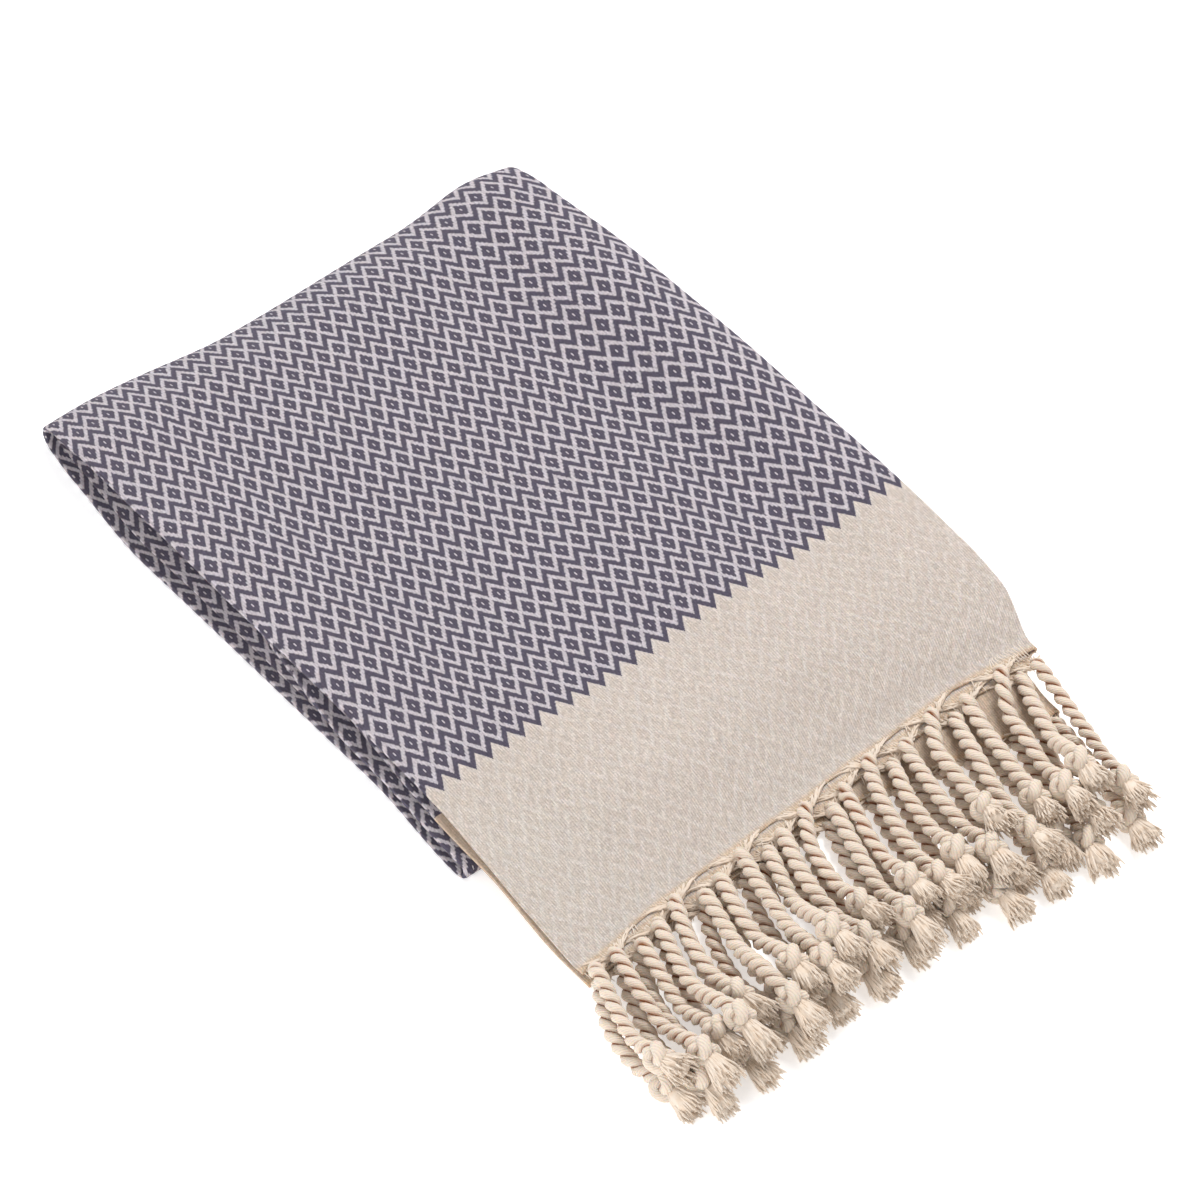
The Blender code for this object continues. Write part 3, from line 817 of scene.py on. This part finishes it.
# %% Fans of warp threads
FAN_THREADS = 44
FAN_REACH = 0.0205  # how far to each side of its root a fan takes in threads
FAN_STEPS = (0.0, 0.25, 0.5, 0.75)
FAN_RADII = (0.00042, 0.00068)  # of its thinnest and thickest thread
FAN_LOWEST = 0.0006
LOOSE_ENDS = 4
LOOSE_RADII = (0.00030, 0.00028, 0.00016)
LOOSE_LOWEST = 0.0005
FRAYED_THREADS = 11
FRAYED_STEPS = 7
FRAYED_RADIUS = 0.00032
FRAYED_FROM = 0.1300  # x of the first loose thread at the right corner
FRAYED_PITCH = 0.0019


def on_hem(end, layer, x, out, lift):
    """A place on a layer near its hem: x, share of the scallop, and height. None beyond the cloth."""
    left, right = edges_at(end, HEMS[end])
    if not left + 0.001 < x < right - 0.001:
        return None
    place = on_layer(end, layer, x, HEMS[end], out)
    place.z += lift
    return place


def warp_fans(name, end, seed):
    """The fans and loose ends at all roots of an end, as one piece."""
    chance = random.Random(seed)
    threads = Threads()
    for layer, root_x in roots_of(end):
        root = root_point(end, layer, root_x)
        for thread in range(FAN_THREADS):
            aside = (thread + 0.5) / FAN_THREADS * 2.0 - 1.0 + chance.uniform(-0.05, 0.05)
            path = []
            for share in FAN_STEPS:
                x = root_x + aside * FAN_REACH * (1.0 - share)
                out = 0.15 + 1.05 * smooth(share / 0.5) + chance.uniform(-0.10, 0.55)
                place = on_hem(end, layer, x, out, chance.uniform(-0.0008, 0.0009))
                if place is not None:
                    place.z = max(place.z, FAN_LOWEST)
                    path.append(place)
            path.append(root + Vector((aside * 0.0022, -0.0025, 0.0014 * (1.0 - abs(aside)))))
            if len(path) > len(FAN_STEPS):
                thick = chance.uniform(*FAN_RADII)
                threads.sweep(path, [thick] * len(path), 4)
        for _ in range(LOOSE_ENDS):
            start = on_hem(end, layer, root_x + chance.uniform(-FAN_REACH, FAN_REACH), 0.9, 0.0003)
            if start is None:
                continue
            drift = Vector((chance.uniform(-0.003, 0.003), -chance.uniform(0.003, 0.007), -0.0012))
            path = [start, start + drift * 0.5 + Vector((0.0, 0.0, 0.0008)), start + drift]
            path = [Vector((p.x, p.y, max(p.z, LOOSE_LOWEST))) for p in path]
            threads.sweep(path, LOOSE_RADII, 4)
    if end == "top":
        frayed_corner(threads, chance)
    return threads.piece(name)


def frayed_corner(threads, chance):
    """A few loose warp threads that lie in waves on the right corner of the top hem."""
    for thread in range(FRAYED_THREADS):
        path = []
        for step in range(FRAYED_STEPS):
            x = FRAYED_FROM + FRAYED_PITCH * thread + 0.0010 * math.sin(1.3 * step + 0.5 * thread)
            place = on_hem("top", "centre", x, 0.4, 0.0007)
            place.y += 0.0135 - 0.0030 * step + chance.uniform(-0.0004, 0.0004)
            place.x += 0.0016 * math.sin(0.9 * step + 0.4 * thread)
            path.append(place)
        threads.sweep(path, [FRAYED_RADIUS] * FRAYED_STEPS, 4)


top_fans = warp_fans("top_fans", "top", 17)
under_fans = warp_fans("under_fans", "under", 19)


# %% [markdown]
# ## The diamond weave
#
# The cloth is a bird's-eye twill. Pale warp threads run along the towel and dark weft threads across it. The
# motif is a lattice of diamonds, every other row shifted by half a repeat, and how far a place is from the
# nearest diamond's centre decides which thread is on top. Modelling threads would take millions of faces. A
# node group works the motif out from the flat cloth's UV map instead, thread by thread, so its edges are
# stepped as they are in a real weave.

# %% Node helpers
def feed(tree, sockets, values):
    """Sets each socket to a plain value, or links another socket to it."""
    for socket, value in zip(sockets, values):
        if isinstance(value, bpy.types.NodeSocket):
            tree.links.new(value, socket)
        else:
            socket.default_value = value


def maths(tree, operation, *values):
    """A math node whose inputs are sockets or numbers; returns its output."""
    node = tree.nodes.new("ShaderNodeMath")
    node.operation = operation
    feed(tree, node.inputs, values)
    return node.outputs[0]


def plus(tree, first, second):
    return maths(tree, "ADD", first, second)


def times(tree, first, second):
    return maths(tree, "MULTIPLY", first, second)


def ramped(tree, value, low, high, to_low=0.0, to_high=1.0):
    """A value carried smoothly from one range to another, and level beyond it."""
    node = tree.nodes.new("ShaderNodeMapRange")
    node.interpolation_type = "SMOOTHSTEP"
    names = ("Value", "From Min", "From Max", "To Min", "To Max")
    feed(tree, [node.inputs[name] for name in names], (value, low, high, to_low, to_high))
    return node.outputs["Result"]


def mixed(tree, share, first, second, mode="MIX"):
    """A colour mix of sockets or plain colours."""
    node = tree.nodes.new("ShaderNodeMix")
    node.data_type = "RGBA"
    node.blend_type = mode
    sockets = {socket.identifier: socket for socket in (*node.inputs, *node.outputs)}
    feed(tree, [sockets[name] for name in ("Factor_Float", "A_Color", "B_Color")], (share, first, second))
    return sockets["Result_Color"]


def new_group(name, inputs, outputs):
    """A node group with named sockets, for numbers and for a Colour: its tree, and both ends' sockets."""
    tree = bpy.data.node_groups.new(name, "ShaderNodeTree")
    for side, sockets in (("INPUT", inputs), ("OUTPUT", outputs)):
        for socket in sockets:
            kind = "NodeSocketColor" if socket == "Colour" else "NodeSocketFloat"
            tree.interface.new_socket(name=socket, in_out=side, socket_type=kind)
    return tree, tree.nodes.new("NodeGroupInput").outputs, tree.nodes.new("NodeGroupOutput").inputs


def placed(tree, group, *values):
    """A node group in a material, with its own values; returns its outputs."""
    node = tree.nodes.new("ShaderNodeGroup")
    node.node_tree = group
    feed(tree, node.inputs, values)
    return node.outputs


# %% The weave as a node group
REPEAT_ACROSS = 0.0111  # one repeat of the diamonds on the flat cloth
REPEAT_ALONG = 0.01813
WARP_THREADS = 16.0  # pale threads and dark threads in a repeat
WEFT_THREADS = 30.0
DIAMOND_EDGE = (0.345, 0.385)  # distance from a diamond's centre, in repeats
ZIGZAG_EDGE = (0.575, 0.615)
DASH_HALF_WIDTH = (0.020, 0.045)  # the single pale thread in the middle of each diamond
DASH_HALF_LENGTH = (0.060, 0.080)
PAIR_STEP = 0.016  # how far a pair of threads, and chance, move a diamond's edge
UNEVEN_STEP = 0.050

# Dark is where the dark thread is on top, Height how high the thread on top is, Thread painted shade and tone
inputs = ("Across", "Along", "Repeat Across", "Repeat Along")
tree, source, target = new_group("diamond_weave", inputs, ("Dark", "Height", "Thread"))
u_thread = times(tree, maths(tree, "DIVIDE", source["Across"], source["Repeat Across"]), WARP_THREADS)
v_thread = times(tree, maths(tree, "DIVIDE", source["Along"], source["Repeat Along"]), WEFT_THREADS)
u_count = maths(tree, "FLOOR", plus(tree, u_thread, 0.5))
v_count = maths(tree, "FLOOR", v_thread)
u_step = maths(tree, "DIVIDE", u_count, WARP_THREADS)
v_step = maths(tree, "DIVIDE", plus(tree, v_count, 0.5), WEFT_THREADS)
pair = maths(tree, "COSINE", times(tree, u_thread, math.pi))
white = tree.nodes.new("ShaderNodeTexWhiteNoise")
white.noise_dimensions = "2D"
cell = tree.nodes.new("ShaderNodeCombineXYZ")
tree.links.new(u_count, cell.inputs["X"])
tree.links.new(maths(tree, "FLOOR", times(tree, v_thread, 0.25)), cell.inputs["Y"])
tree.links.new(cell.outputs["Vector"], white.inputs["Vector"])
uneven = maths(tree, "SUBTRACT", white.outputs["Value"], 0.5)
distances, dashes = [], []
for shift_u, shift_v in ((0.0, 0.0), (0.5, 1.0)):
    du = maths(tree, "PINGPONG", plus(tree, u_step, shift_u), 0.5)
    dv = maths(tree, "PINGPONG", plus(tree, v_step, shift_v), 1.0)
    narrow = ramped(tree, du, *DASH_HALF_WIDTH, 1.0, 0.0)
    dashes.append(times(tree, narrow, ramped(tree, dv, *DASH_HALF_LENGTH, 1.0, 0.0)))
    distances.append(plus(tree, du, dv))
nearest = plus(tree, maths(tree, "MINIMUM", *distances), times(tree, pair, PAIR_STEP))
nearest = plus(tree, nearest, times(tree, uneven, UNEVEN_STEP))
diamond = ramped(tree, nearest, *DIAMOND_EDGE, 1.0, 0.0)
dark = maths(tree, "MAXIMUM", diamond, ramped(tree, nearest, *ZIGZAG_EDGE))
dark = maths(tree, "SUBTRACT", dark, maths(tree, "MAXIMUM", *dashes))
dark = maths(tree, "MAXIMUM", dark, 0.0)
warp = maths(tree, "ABSOLUTE", pair)
weft = maths(tree, "ABSOLUTE", maths(tree, "SINE", times(tree, v_thread, math.pi)))
pale = maths(tree, "SUBTRACT", 1.0, dark)
over_warp = times(tree, pale, plus(tree, times(tree, warp, 0.7), 0.3))
over_weft = times(tree, dark, times(tree, weft, 0.75))
paired = plus(tree, times(tree, pair, 0.30), times(tree, uneven, 0.60))
# painted shade: a thread lighter on its crest and darker in the gaps beside it
light = plus(tree, times(tree, pale, warp), times(tree, dark, weft))
tree.links.new(dark, target["Dark"])
tree.links.new(plus(tree, over_warp, over_weft), target["Height"])
tree.links.new(plus(tree, times(tree, light, 0.5), paired), target["Thread"])
WEAVE = tree
print("weave group", len(WEAVE.nodes), "nodes")

# %% Painted shade and tone of a thread as a node group
# A colour, from darkest where a value is low to lightest where it is high
inputs = ("Colour", "Value", "Low", "High", "Darkest", "Lightest")
tree, source, target = new_group("thread_tone_and_shade", inputs, ("Colour",))
shade = ramped(tree, *(source[name] for name in inputs[1:]))
grey = tree.nodes.new("ShaderNodeCombineColor")
for name in ("Red", "Green", "Blue"):
    tree.links.new(shade, grey.inputs[name])
shaded = mixed(tree, 1.0, source["Colour"], grey.outputs["Color"], "MULTIPLY")
tree.links.new(shaded, target["Colour"])
TONE_AND_SHADE = tree

# %% [markdown]
# ## Materials
#
# Colours are measured on the photo as plain averages and given in linear light. Cotton is matt, with a faint
# bloom of fibre ends at grazing angles, which is what Sheen is for. The cloth's colour and relief both come
# from the weave group. The band at each end is the same weave with both threads pale, so it shows as little
# more than relief.

# %% Colour and material helpers
SOFT_DEPTH = 0.0035  # how far light goes on under the surface of cotton, and its share of each colour
SOFT_COLOUR = (1.0, 0.50, 0.24)


def linear(red, green, blue):
    """A colour from 0 to 255, as it looks on a screen, in linear light."""
    made = []
    for value in (red, green, blue):
        value /= 255.0
        made.append(value / 12.92 if value <= 0.04045 else ((value + 0.055) / 1.055) ** 2.4)
    return (*made, 1.0)


def new_material(name, colour, roughness, sheen, soft=0.0):
    """A matt material with a bloom, and soft where light goes in: the material, its tree, its shader."""
    made = bpy.data.materials.new(name)
    made.use_nodes = True
    shader = made.node_tree.nodes["Principled BSDF"]
    for socket, value in (
        ("Base Color", colour), ("Roughness", roughness), ("Specular IOR Level", 0.25),
        ("Sheen Weight", sheen), ("Sheen Roughness", 0.6), ("Subsurface Weight", soft),
        ("Subsurface Radius", SOFT_COLOUR), ("Subsurface Scale", SOFT_DEPTH),
    ):
        shader.inputs[socket].default_value = value
    return made, made.node_tree, shader


def grain(tree, scale, detail):
    """Noise on the piece's own coordinates."""
    coords = tree.nodes.new("ShaderNodeTexCoord")
    node = tree.nodes.new("ShaderNodeTexNoise")
    node.inputs["Scale"].default_value = scale
    node.inputs["Detail"].default_value = detail
    tree.links.new(coords.outputs["Object"], node.inputs["Vector"])
    return node.outputs["Fac"]


def flat_place(tree, name):
    """The two coordinates of a UV map."""
    uv_map = tree.nodes.new("ShaderNodeUVMap")
    uv_map.uv_map = name
    split = tree.nodes.new("ShaderNodeSeparateXYZ")
    tree.links.new(uv_map.outputs["UV"], split.inputs["Vector"])
    return split.outputs["X"], split.outputs["Y"]


def bump(tree, shader, height, distance):
    node = tree.nodes.new("ShaderNodeBump")
    node.inputs["Distance"].default_value = distance
    tree.links.new(height, node.inputs["Height"])
    tree.links.new(node.outputs["Normal"], shader.inputs["Normal"])


# %% Where the motif lies on the flat cloth
def flat_at(x, y):
    """Place on the flat cloth of a point on top of the towel."""
    first = next(index for index, section in enumerate(SECTIONS) if section[2] == "centre")
    across = ACROSS[first] + across_of("top", x, y) - SECTIONS[first][0]
    return across, y - TOP_HEM + HEM_ALONG


MOTIF_ACROSS, MOTIF_ALONG = flat_at(-0.0501, 0.1965)  # the centre of one diamond
DRIFT_FROM = flat_at(0.008, 0.114)  # where the motif lies straight
DRIFT_ACROSS = (0.015, 0.012)  # how much it drifts from there, per metre across and along
DRIFT_ALONG = (-0.006, 0.010)
MOTIF_SHIFT = (0.0004, 0.0001)  # a last correction of its place
BAND_START = 0.1245 + HEM_ALONG  # length of the plain band at each end, from the tips of the scallops
print("a diamond's centre is at", round(MOTIF_ACROSS, 4), round(MOTIF_ALONG, 4))

# %% The motif on the woven cloth
DARK_YARN = linear(81, 75, 90)
PALE_YARN = linear(191, 183, 188)
cotton_weave, tree, shader = new_material("cotton_weave", PALE_YARN, 0.95, 0.05, 0.25)
across, along = flat_place(tree, "Cloth")


def drifting(start, drift, straight):
    """A place in the motif: straight along the cloth, and drifting a little, as hand-laid cloth does."""
    moved = times(tree, maths(tree, "SUBTRACT", across, DRIFT_FROM[0]), drift[0])
    moved = plus(tree, moved, times(tree, maths(tree, "SUBTRACT", along, DRIFT_FROM[1]), drift[1]))
    return plus(tree, maths(tree, "SUBTRACT", straight, start), moved)


motif_across = drifting(MOTIF_ACROSS + MOTIF_SHIFT[0], DRIFT_ACROSS, across)
motif_along = drifting(MOTIF_ALONG + MOTIF_SHIFT[1], DRIFT_ALONG, along)
weave = placed(tree, WEAVE, motif_across, motif_along, REPEAT_ACROSS, REPEAT_ALONG)
field = mixed(tree, weave["Dark"], PALE_YARN, DARK_YARN)

# %% Where the plain bands begin
# The field ends on the lower edge of a zigzag: below the diamonds of this row, counted from the marked one.
LAST_ROW = -13
ZIGZAG_BELOW = 0.91  # how far below the row, in repeats
tooth = plus(tree, maths(tree, "DIVIDE", motif_across, REPEAT_ACROSS), 0.5 * (LAST_ROW % 2))
border = plus(tree, maths(tree, "PINGPONG", tooth, 0.5), LAST_ROW - ZIGZAG_BELOW)
first_band = maths(tree, "LESS_THAN", maths(tree, "DIVIDE", motif_along, REPEAT_ALONG), border)
last_band = maths(tree, "GREATER_THAN", along, CLOTH_LENGTH - BAND_START)

# %% Colours, painted shade and relief of the woven cloth
BAND_YARN = linear(203, 192, 184)
BAND_SHADE = linear(188, 173, 161)
# A warm yarn colour: painted shade at the hems and on the second band, and random warm tone in loose fibre
WARM_TONE_AND_SHADE = linear(206, 174, 138)
BAND_CONTRAST = 0.45  # how far the dark thread shows in the plain bands
HEM_PAINTED_SHADE = (0.0025, 0.0060, 0.55, 0.0)  # painted shade: from and to what distance the cloth at the hem is painted warmer and darker, and how much there
LAST_BAND_PAINTED_SHADE = 0.45  # painted shade: how much warmer and darker the whole second band is, where it lies under the cords
WEAVE_RELIEF = 0.00016
plain = mixed(tree, times(tree, weave["Dark"], BAND_CONTRAST), BAND_YARN, BAND_SHADE)
hem_near = maths(tree, "MINIMUM", along, maths(tree, "SUBTRACT", CLOTH_LENGTH, along))
# painted shade: the cloth near each hem is made warmer and darker
plain = mixed(tree, ramped(tree, hem_near, *HEM_PAINTED_SHADE), plain, WARM_TONE_AND_SHADE)
# painted shade: the whole second band is made warmer and darker, as it lies in the shade of the cords
plain = mixed(tree, times(tree, last_band, LAST_BAND_PAINTED_SHADE), plain, WARM_TONE_AND_SHADE)
colour = mixed(tree, maths(tree, "MAXIMUM", first_band, last_band), field, plain)
# painted shade between the threads, with random tone, from the weave's Thread value
colour = placed(tree, TONE_AND_SHADE, colour, weave["Thread"], -0.1, 0.9, 0.80, 1.10)["Colour"]
colour = placed(tree, TONE_AND_SHADE, colour, grain(tree, 950.0, 2.0), 0.3, 0.7, 0.86, 1.10)["Colour"]
tree.links.new(colour, shader.inputs["Base Color"])
bump(tree, shader, weave["Height"], WEAVE_RELIEF)
towel_sheet.data.materials.append(cotton_weave)

# %% The corded yarn
YARN = linear(220, 205, 189)
YARN_PAINTED_SHADE = linear(148, 86, 40)
YARN_LAY = 55.0  # how often the fibres turn round a ply, per metre
YARN_RELIEF = 0.00025
cotton_cord, tree, shader = new_material("cotton_cord", YARN, 0.95, 0.08, 0.25)
# painted shade: the yarn is made darker and warmer where a place lies deep in the cord or knot
painted_hollow_shade = tree.nodes.new("ShaderNodeAttribute")
painted_hollow_shade.attribute_name = "painted_hollow_shade"
colour = mixed(tree, ramped(tree, painted_hollow_shade.outputs["Fac"], 0.10, 0.52), YARN, YARN_PAINTED_SHADE)
round_ply, along_ply = flat_place(tree, "Yarn")
twist = plus(tree, round_ply, times(tree, along_ply, YARN_LAY))
strands = maths(tree, "ABSOLUTE", maths(tree, "SINE", times(tree, twist, 10.0 * math.pi)))
fluff = grain(tree, 1400.0, 3.0)
fibres = plus(tree, times(tree, strands, 0.5), times(tree, fluff, 0.6))
# painted shade in the grooves between the fibres, with random tone from the fluff
colour = placed(tree, TONE_AND_SHADE, colour, fibres, 0.15, 0.8, 0.88, 1.03)["Colour"]
tree.links.new(colour, shader.inputs["Base Color"])
bump(tree, shader, plus(tree, strands, fluff), YARN_RELIEF)
for piece in (top_cords, under_cords, top_knots, under_knots):
    piece.data.materials.append(cotton_cord)

# %% Loose fibre of tufts and fans
FIBRE = linear(226, 212, 197)
cotton_fibre, tree, shader = new_material("cotton_fibre", FIBRE, 0.95, 0.20)
share = ramped(tree, grain(tree, 260.0, 3.0), 0.35, 0.70, 0.0, 0.32)
tree.links.new(mixed(tree, share, FIBRE, WARM_TONE_AND_SHADE), shader.inputs["Base Color"])
LOOSE = (top_tufts, under_tufts, top_fans, under_fans)
for piece in LOOSE:
    piece.data.materials.append(cotton_fibre)

# %% [markdown]
# ## Each piece to its node
#
# Each fine piece rides on the towel's one body and stands for its node of the solid model.

# %% Tie the pieces to the frame
FRINGES = (top_cords, under_cords, top_knots, under_knots, *LOOSE)
for piece in (towel_sheet, *FRINGES):
    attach(piece, "root")
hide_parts("towel_cloth")
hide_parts("fringe_top_end")
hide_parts("fringe_under_end")

# %% [markdown]
# ## Floor, light and camera
#
# A pale floor, a bright even sky, a large soft lamp behind on the right and a weaker one on the left give
# the plain light of a catalogue picture. The camera is a long lens at the photo's angle, worked out from the
# weave's even lattice.

# %% Stage
WHITE = (1.0, 1.0, 1.0, 1.0)
bpy.ops.mesh.primitive_plane_add(size=12.0, location=(0.0, 0.0, -0.0002))
floor = bpy.context.object
floor.name = "floor"
paper, _, shader = new_material("paper", (0.93, 0.93, 0.93, 1.0), 1.0, 0.0)
shader.inputs["Emission Color"].default_value = WHITE
shader.inputs["Emission Strength"].default_value = 0.40
floor.data.materials.append(paper)

world = bpy.data.worlds.new("studio")
world.use_nodes = True
sky = world.node_tree.nodes["Background"]
sky.inputs["Color"].default_value = WHITE
sky.inputs["Strength"].default_value = 0.60
bpy.context.scene.world = world


def soft_lamp(name, place, size, power):
    """A round lamp that points at the origin."""
    lamp = bpy.data.lights.new(name, "AREA")
    lamp.shape = "DISK"
    lamp.size = size
    lamp.energy = power
    made = new_object(name, lamp)
    made.location = place
    made.rotation_euler = (-Vector(place)).to_track_quat("-Z", "Y").to_euler()


soft_lamp("key", (1.4, 0.6, 2.3), 1.2, 62.0)
soft_lamp("fill", (-1.9, -0.6, 0.9), 1.4, 22.0)

camera_data = bpy.data.cameras.new("camera")
camera_data.lens = 206.1
camera_data.sensor_width = 36.0
camera = new_object("camera", camera_data)
camera.location = Vector((-1.567, -1.872, 2.741)) - OUTLINE_MIDDLE
camera.rotation_euler = (math.radians(41.9), 0.0, math.radians(-39.8))
bpy.context.scene.camera = camera
bpy.context.scene.view_settings.view_transform = "Standard"
print("camera at", [round(value, 3) for value in camera.location])
